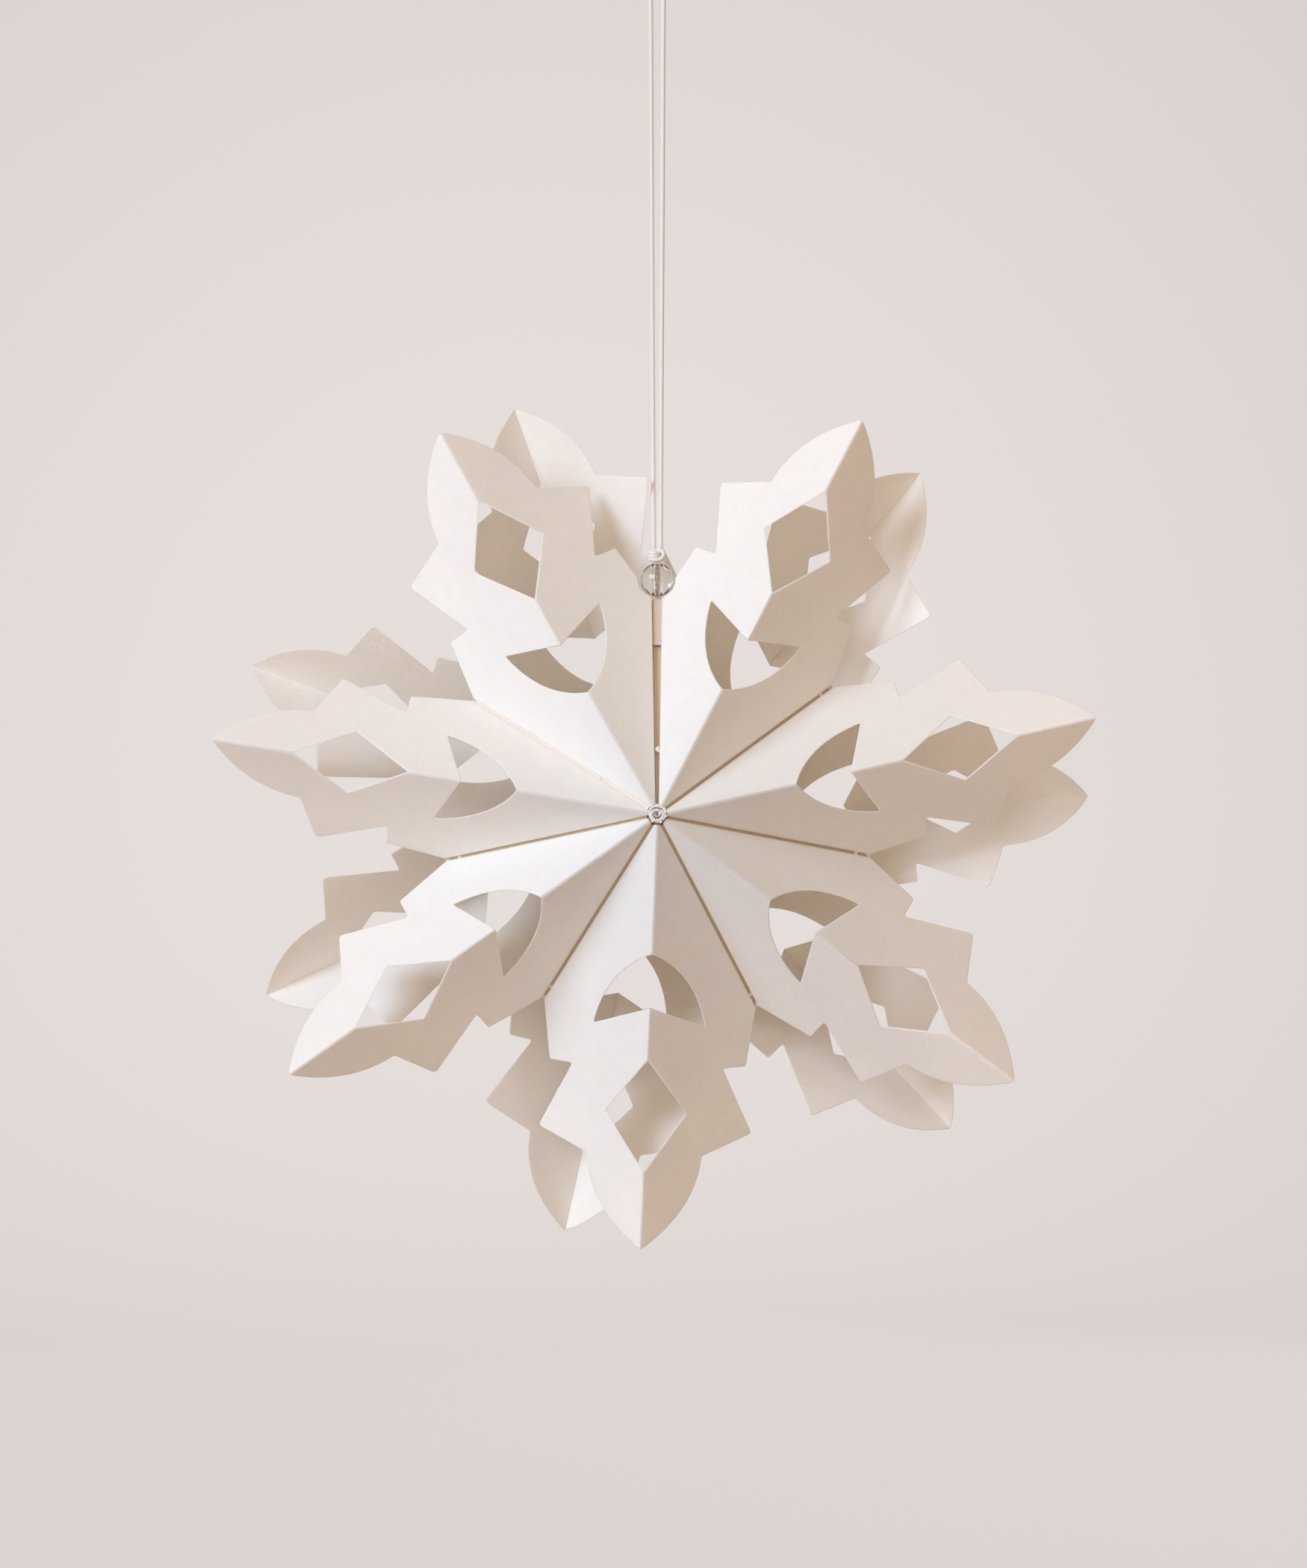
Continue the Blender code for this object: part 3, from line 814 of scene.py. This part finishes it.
# %% Squeezed glue dots
DOT_STRETCH, DOT_FLAT = 1.25, 0.8
DOT_ACROSS, DOT_SUNK = 0.55, 0.15 * MM
BIG_LUMP, SMALL_LUMP = 0.16, 0.10
for name, k, x, size, body in (("glue_dot_top", 6, 16.0, 0.62, "end_page"),
                               ("glue_dot_left", 0, 16.4, 0.55, "seam1")):
    bm = bmesh.new()
    bmesh.ops.create_icosphere(bm, subdivisions=3, radius=size * MM)
    spot = Vector((x * MM, STACK + SEAM_GAP * DOT_ACROSS,
                   HALF_DEPTH - x * MM * math.tan(SLOPE) - DOT_SUNK))
    pts = []
    for v in bm.verts:
        d = v.co.normalized()
        lump = (1 + BIG_LUMP * math.sin(3.1 * d.x + 2.2 * d.y + k)
                + SMALL_LUMP * math.sin(5.3 * d.z - 2.7 * d.x))
        away = Vector((v.co.x * DOT_STRETCH, v.co.y, v.co.z * DOT_FLAT)) * lump
        pts.append(points_of_star[k]["places"]["page_a"] @ (spot + away))
    shell = [tuple(v.index for v in f.verts) for f in bm.faces]
    bm.free()
    dot = add_mesh(name, pts, shell, glue_mat, weighted=False)
    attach(dot, body)
    print("%s: %.1f mm across" % (name, 2 * size))

# %% [markdown]
# ## A smooth line
# Tied cord runs in soft bends. A polyline would kink at every mark, so the marks of the
# knot are joined by a Catmull-Rom line, which goes through each of them.


# %% Smooth line
def smooth_line(marks, steps=8):
    """A Catmull-Rom line through the marks."""
    pts = [Vector(p) for p in marks]
    pts = [2 * pts[0] - pts[1]] + pts + [2 * pts[-1] - pts[-2]]
    out = []
    for p0, p1, p2, p3 in zip(pts, pts[1:], pts[2:], pts[3:]):
        for k in range(steps):
            u = k / steps
            out.append(0.5 * (2 * p1 + (p2 - p0) * u + (2 * p0 - 5 * p1 + 4 * p2 - p3) * u * u
                              + (3 * p1 - p0 - 3 * p2 + p3) * u ** 3))
    return out + [pts[-2]]


print("smooth line ready")

# %% [markdown]
# ## Knot
# Above the bead the doubled cord is tied in a small knot. The photograph shows two uneven
# lobes: stacked white wraps on the left, and a taller loop in shade on the right. A ball
# would lose both, so one line of cord is led round the wraps, across and up over the loop.
# Two short cores carry the strands down through it, so that it has no hole.

# %% Knot
knot_z = bead_z + BEAD_D / 2 * math.cos(math.asin(BEAD_HOLE / BEAD_D)) + FIT_AIR + KNOT_H / 2
WRAP_STEPS, STEPS_IN_WRAP = 20, 8
WRAP_RADIUS, WRAP_X, WRAP_Y = 0.95, -0.85, -0.15
WRAP_TOP, WRAP_DROP = 1.15, 2.35
KNOT_CORD_D, CORE_D, CORE_X = 1.2 * MM, 0.95 * MM, 0.45 * MM
CORE_RISE, CORE_BEND, CORE_END = 0.2 * MM, 0.3 * KNOT_H, 0.48 * KNOT_H
LOOP_MARKS = [(0.5, -1.0, -1.15), (1.35, -1.0, -0.55), (1.75, -0.75, 0.4), (1.45, -0.4, 1.2),
              (0.95, 0.2, 1.25), (0.9, 0.8, 0.5), (1.3, 0.95, -0.5), (0.8, 0.6, -1.2),
              (0.1, 0.1, -1.3)]
marks = [(-0.9, 0.0, 1.75)]
for k in range(WRAP_STEPS + 1):
    a = 2 * math.pi * (0.25 + k / STEPS_IN_WRAP)
    marks.append((WRAP_X + WRAP_RADIUS * math.cos(a), WRAP_Y + WRAP_RADIUS * math.sin(a),
                  WRAP_TOP - WRAP_DROP * k / WRAP_STEPS))
tied = [Vector(p) * MM + Vector((0, 0, knot_z)) for p in smooth_line(marks + LOOP_MARKS)]
knot_ob, run = twisted_tube("wrapped_knot", tied, KNOT_CORD_D, cord_mat, pitch=2.4 * MM,
                            step=0.18 * MM)
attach(knot_ob, "cord")
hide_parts("knot")
for k, hand in enumerate((-1, 1)):
    x = hand * CORE_X
    core_route = [(STRAND_LOW * hand, 0, knot_top + CORE_RISE), (x, 0, knot_z + CORE_BEND),
                  (x, 0, knot_z - CORE_END)]
    core, _ = twisted_tube("knot_core_%d" % (k + 1), core_route, CORE_D, cord_mat,
                           step=0.2 * MM)
    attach(core, "cord")
print("knot: %.0f mm of cord in it" % (run * 1000))

# %% [markdown]
# ## Bead finish
# The bead is clear acrylic, a little uneven from the mould. Plain glass would look too
# perfect, so a faint noise bends the surface. It has no colour to speak of: what shows in
# it is the card and the cord behind.

# %% Bead finish
clear_mat, tree, shader = add_material("clear_bead")
place = node(tree, "ShaderNodeTexCoord")
flow = node(tree, "ShaderNodeTexNoise", Scale=420.0, Detail=2.0)
bump = node(tree, "ShaderNodeBump", Strength=0.12, Distance=0.0002)
join(tree, place, "Object", flow, "Vector")
join(tree, flow, "Fac", bump, "Height")
join(tree, bump, "Normal", shader, "Normal")
shader.inputs["Base Color"].default_value = (0.99, 0.985, 0.98, 1.0)
shader.inputs["Roughness"].default_value = 0.02
shader.inputs["IOR"].default_value = 1.46
shader.inputs["Transmission Weight"].default_value = 1.0
print("finish:", clear_mat.name)

# %% [markdown]
# ## Bead
# The bead has faint upright ribs and a drilled hole. A sphere would lose both, and the hole
# is what makes the brown streaks in the middle. So a half-round profile is turned about the
# cord with a small ripple in its radius, and the hole's wall closes it, which lets the
# shader refract at both surfaces.

# %% Bead
RIBS, RIB_DEPTH = 12, 0.018
AROUND, ROWS_UP, ROWS_IN_HOLE = 144, 48, 12
HOLE_SHARE = 0.94  # the hole's wall stands a little inside its rim
start = math.asin(BEAD_HOLE / BEAD_D)
profile = []
for k in range(ROWS_UP + 1):
    a = start + (math.pi - 2 * start) * k / ROWS_UP
    profile.append((BEAD_D / 2 * math.sin(a), BEAD_D / 2 * math.cos(a), math.sin(a)))
z, rim = profile[-1][1], profile[0][1]
for k in range(1, ROWS_IN_HOLE):
    z += (rim - z) * k / ROWS_IN_HOLE  # the rows crowd towards the upper rim
    profile.append((BEAD_HOLE / 2 * HOLE_SHARE, z, 0.0))
pts, faces, n = [], [], len(profile)
for s in range(AROUND):
    a = 2 * math.pi * s / AROUND
    for r, z, swell in profile:
        ripple = 1 - RIB_DEPTH * swell ** 2 * (0.5 - 0.5 * math.cos(RIBS * a))
        pts.append((r * ripple * math.cos(a), r * ripple * math.sin(a), bead_z + z))
    m = (s + 1) % AROUND
    for k in range(n):
        faces.append((s * n + k, m * n + k, m * n + (k + 1) % n, s * n + (k + 1) % n))
bead_ob = add_mesh("ribbed_bead", pts, faces, clear_mat, weighted=False)
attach(bead_ob, "bead")
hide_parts("bead")
print("bead: %d ribs, %.1f mm across" % (RIBS, BEAD_D * 1000))

# %% [markdown]
# ## Cord ends
# Both ends of the cord pass through the bead and are caught between the two end pages. Only
# a short piece shows, inside the bead and just under it. Modelling each end would hardly
# show, so one tube of two plies twisted together is enough. The cord is white, but inside
# the bead it lies in shade, so its brown finish is painted shade; it makes the brown streaks
# in the bead.

# %% Cord ends
TAIL_LENGTH, TAIL_D, TAIL_STEPS = 17.0 * MM, 1.0 * MM, 7
tail_top = knot_z - KNOT_H / 2 - FIT_AIR
tail_route = [(0.0, 0.0, tail_top - TAIL_LENGTH * k / TAIL_STEPS)
              for k in range(TAIL_STEPS + 1)]
# The white cord ends in shade: a brown painted shade, drifting darker and lighter at random.
cord_ends_shade_mat, _ = mottled("cord_ends_painted_shade", ((0.26, 0.16, 0.10), (0.62, 0.46, 0.34)), 0.85,
                     2600.0, detail=4.0, grain=0.65, spread=(0.35, 0.68))
tail_ob, run = twisted_tube("cord_ends", tail_route, TAIL_D, cord_ends_shade_mat, pitch=2.2 * MM, plies=2,
                            step=0.25 * MM, depth=0.3)
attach(tail_ob, "end_page")
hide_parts("cord_tail")
print("cord ends: %.0f mm" % (run * 1000))

# %% [markdown]
# ## Spine tie
# At the centre a white thread comes through the spine and curls into a small open ring. Its
# solid is a smooth wire bent round once. The scene swaps in a twisted thread that goes a
# little more than once round, dives behind itself as a real loose end does, and runs
# through the spine to the same curl behind.

# %% Spine tie
TIE_RADIUS, TIE_RING, TIE_STAND = 0.38 * MM, 1.55 * MM, 0.6 * MM
CURL_START, CURL_TURN, CURL_STEPS = 75, 430, 60
RING_WOBBLE, RING_SQUASH = 0.05, 0.9
SHRINK_FROM, SHRINK_BY = 0.8, 0.25
DIVE_FROM, DIVE_SLOW, DIVE_FAST = 0.84, 1.6 * TIE_RADIUS, 3.2 * TIE_RADIUS
TUCK, TUCK_STEPS = 5 * TIE_RADIUS, (0.35, 0.7, 1.0)
SPINE_STEPS = 12
curl = []
for k in range(CURL_STEPS + 1):
    turn = k / CURL_STEPS
    a = math.radians(CURL_START + CURL_TURN * turn)
    ring = TIE_RING * (1 + RING_WOBBLE * math.sin(3 * a))
    ring *= 1 - SHRINK_BY * max(0.0, turn - SHRINK_FROM) / (1 - SHRINK_FROM)
    dive = DIVE_SLOW * turn + DIVE_FAST * max(0.0, turn - DIVE_FROM) / (1 - DIVE_FROM)
    curl.append(Vector((ring * math.cos(a), dive - HALF_DEPTH - TIE_STAND,
                        RING_SQUASH * ring * math.sin(a) - STAR_DROP)))
last = curl[-1]
for u in TUCK_STEPS:
    curl.append(Vector((last.x * (1 - u), last.y + TUCK * u,
                        (last.z + STAR_DROP) * (1 - u) - STAR_DROP)))
deep = -curl[-1].y - TIE_RADIUS
through = [Vector((0, -deep + 2 * deep * k / SPINE_STEPS, -STAR_DROP))
           for k in range(SPINE_STEPS + 1)]
behind = [Vector((p.x, -p.y, p.z)) for p in reversed(curl)]
tie_ob, run = twisted_tube("spine_thread", curl + through + behind, 2 * TIE_RADIUS, cord_mat,
                           pitch=1.6 * MM, plies=2, step=0.16 * MM, sides=14, depth=0.22)
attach(tie_ob, "end_page")
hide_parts("spine_tie")
print("spine thread: %.0f mm" % (run * 1000))

# %% [markdown]
# ## The warm room
# The shaded sides of the card are filled by a warm room, lighter above than below. A pale
# world would wash them out, and a warm world would show as a brown background. So the world
# is warm for light, and pale only for what the camera, mirrors and glass see.

# %% Warm room
PALE = (0.783, 0.735, 0.718, 1.0)
ROOM_LOW, ROOM_HIGH = (0.312, 0.219, 0.152, 1.0), (0.576, 0.424, 0.316, 1.0)


def seen_directly(tree):
    """A node that gives 1 for rays from the camera, mirrors and glass, else 0."""
    rays = node(tree, "ShaderNodeLightPath")
    first = node(tree, "ShaderNodeMath", operation="MAXIMUM")
    both = node(tree, "ShaderNodeMath", operation="MAXIMUM")
    join(tree, rays, "Is Camera Ray", first, 0)
    join(tree, rays, "Is Glossy Ray", first, 1)
    join(tree, first, 0, both, 0)
    join(tree, rays, "Is Transmission Ray", both, 1)
    return both


world = bpy.data.worlds.new("warm_room")
scene.world = world
world.use_nodes = True
tree = world.node_tree
where = node(tree, "ShaderNodeTexCoord")
height = node(tree, "ShaderNodeSeparateXYZ")
spread = node(tree, "ShaderNodeMapRange")
spread.inputs["From Min"].default_value = -1.0
room = node(tree, "ShaderNodeValToRGB")
room.color_ramp.elements[0].color = ROOM_LOW
room.color_ramp.elements[1].color = ROOM_HIGH
mix = node(tree, "ShaderNodeMix", data_type="RGBA")
mix.inputs["B"].default_value = PALE
join(tree, where, "Generated", height, "Vector")
join(tree, height, "Z", spread, "Value")
join(tree, spread, "Result", room, "Fac")
join(tree, room, "Color", mix, "A")
join(tree, seen_directly(tree), 0, mix, "Factor")
join(tree, mix, "Result", tree.nodes["Background"], "Color")
print("world:", world.name)

# %% [markdown]
# ## Paper sweep finish
# Behind the star is a pale sheet, with a painted shade that makes it a little darker low
# down than at the height of the star. Lamps could light it evenly, but the same lamps would
# then wash out the card. So the sheet glows with painted light for what the camera sees, by
# distance from a spot on the wall: pale, then dimmer with painted shade, and pale again far
# out, where the sheet ends. A tenth of real matte paper keeps the shadow.
# From its back the sheet is clear, so that the hanging star can be looked at from below.

# %% Paper sweep finish
# A painted shade dims the glowing sheet low down; PALE is its even glow.
SWEEP_PAINTED_SHADE = (0.695, 0.645, 0.633, 1.0)
GLOW_SPOT, GLOW_REACH = (-0.1, 2.6, -0.2), 4.0
GLOW_STOPS = ((0.08, PALE), (0.24, SWEEP_PAINTED_SHADE), (0.45, SWEEP_PAINTED_SHADE), (0.95, PALE))
SEEN_SHARE = 0.9
floor_mat = bpy.data.materials.new("pale_paper_sweep")
floor_mat.use_nodes = True
tree = floor_mat.node_tree
tree.nodes.clear()
matte = node(tree, "ShaderNodeBsdfDiffuse", Color=(0.55, 0.48, 0.43, 1.0))
glow = node(tree, "ShaderNodeEmission", Strength=1.06)
where = node(tree, "ShaderNodeTexCoord")
reach = node(tree, "ShaderNodeVectorMath", operation="DISTANCE")
reach.inputs[1].default_value = GLOW_SPOT
shrink = node(tree, "ShaderNodeMath", operation="MULTIPLY")
shrink.inputs[1].default_value = 1 / GLOW_REACH
fade = node(tree, "ShaderNodeValToRGB")
stops = fade.color_ramp.elements
stops[0].position, stops[1].position = GLOW_STOPS[0][0], GLOW_STOPS[1][0]
stops[0].color, stops[1].color = GLOW_STOPS[0][1], GLOW_STOPS[1][1]
for position, colour in GLOW_STOPS[2:]:
    stops.new(position).color = colour
share = node(tree, "ShaderNodeMath", operation="MULTIPLY")
share.inputs[1].default_value = SEEN_SHARE
pick = node(tree, "ShaderNodeMixShader")
facing = node(tree, "ShaderNodeNewGeometry")
nothing = node(tree, "ShaderNodeBsdfTransparent")
one_sided = node(tree, "ShaderNodeMixShader")
out = node(tree, "ShaderNodeOutputMaterial")
join(tree, where, "Object", reach, 0)
join(tree, reach, "Value", shrink, 0)
join(tree, shrink, 0, fade, "Fac")
join(tree, fade, "Color", glow, "Color")
join(tree, seen_directly(tree), 0, share, 0)
join(tree, share, 0, pick, "Fac")
join(tree, matte, 0, pick, 1)
join(tree, glow, 0, pick, 2)
join(tree, facing, "Backfacing", one_sided, "Fac")
join(tree, pick, 0, one_sided, 1)
join(tree, nothing, 0, one_sided, 2)
join(tree, one_sided, 0, out, "Surface")
print("finish:", floor_mat.name)

# %% [markdown]
# ## Paper sweep
# The sheet lies on the floor and curves up the wall. A floor and a wall would meet in a
# line behind the star, so they are one bent sheet. It faces up, towards the star.

# %% Paper sweep
FLOOR_Z, FLOOR_NEAR = -0.62, -14.0
WALL_Y, WALL_TOP = 2.6, 3.2
BEND, BEND_STEPS, HALF_WIDTH = 0.6, 12, 9.0
sweep = [(FLOOR_NEAR, FLOOR_Z), (WALL_Y - BEND, FLOOR_Z)]
for k in range(1, BEND_STEPS + 1):
    a = math.pi / 2 * k / BEND_STEPS
    sweep.append((WALL_Y - BEND + BEND * math.sin(a), FLOOR_Z + BEND - BEND * math.cos(a)))
sweep.append((WALL_Y, WALL_TOP))
pts = [(x, y, z) for y, z in sweep for x in (-HALF_WIDTH, HALF_WIDTH)]
strips = [(2 * k, 2 * k + 1, 2 * k + 3, 2 * k + 2) for k in range(len(sweep) - 1)]
floor = add_mesh("floor", pts, strips, floor_mat, weighted=False)
if floor.data.polygons[0].normal.z < 0:
    floor.data.flip_normals()
print("paper sweep: floor at %.2f m, wall at %.1f m" % (FLOOR_Z, WALL_Y))

# %% [markdown]
# ## Lamps
# The photograph has one large soft light from the upper left, in front of the star: a cool
# window. A sun would cut hard shadows, so it is a large square lamp. Two weak lamps stand
# in for light off the room in front and off the wall behind, and they reach the leaves that
# the window can't. Only the window shows in the bead.

# %% Lamps
LAMPS = (
    # name, direction, distance, size, power, colour, shows in the bead
    ("window", (-0.623, -0.695, 0.360), 3.2, 1.5, 77.5, (0.676, 0.812, 1.0), True),
    ("room_front", (0.10, -0.98, 0.12), 1.7, 1.2, 2.8, (1.0, 0.86, 0.74), False),
    ("wall_bounce", (0.30, 0.90, 0.30), 1.7, 1.5, 14.0, (0.97, 0.96, 0.98), False))


def soft_lamp(name, direction, distance, size, power, colour):
    """A square area lamp that looks at the star's centre."""
    data = bpy.data.lights.new(name, "AREA")
    data.shape = "SQUARE"
    data.size = size
    data.energy = power
    data.color = colour
    ob = bpy.data.objects.new(name, data)
    aim = Vector((0.0, 0.0, -STAR_DROP))
    ob.location = aim + Vector(direction).normalized() * distance
    ob.rotation_euler = (aim - ob.location).to_track_quat("-Z", "Y").to_euler()
    scene.collection.objects.link(ob)
    return ob


for *settings, mirrored in LAMPS:
    lamp = soft_lamp(*settings)
    lamp.visible_camera = False
    lamp.visible_glossy = mirrored
print("%d lamps and a warm room" % len(LAMPS))
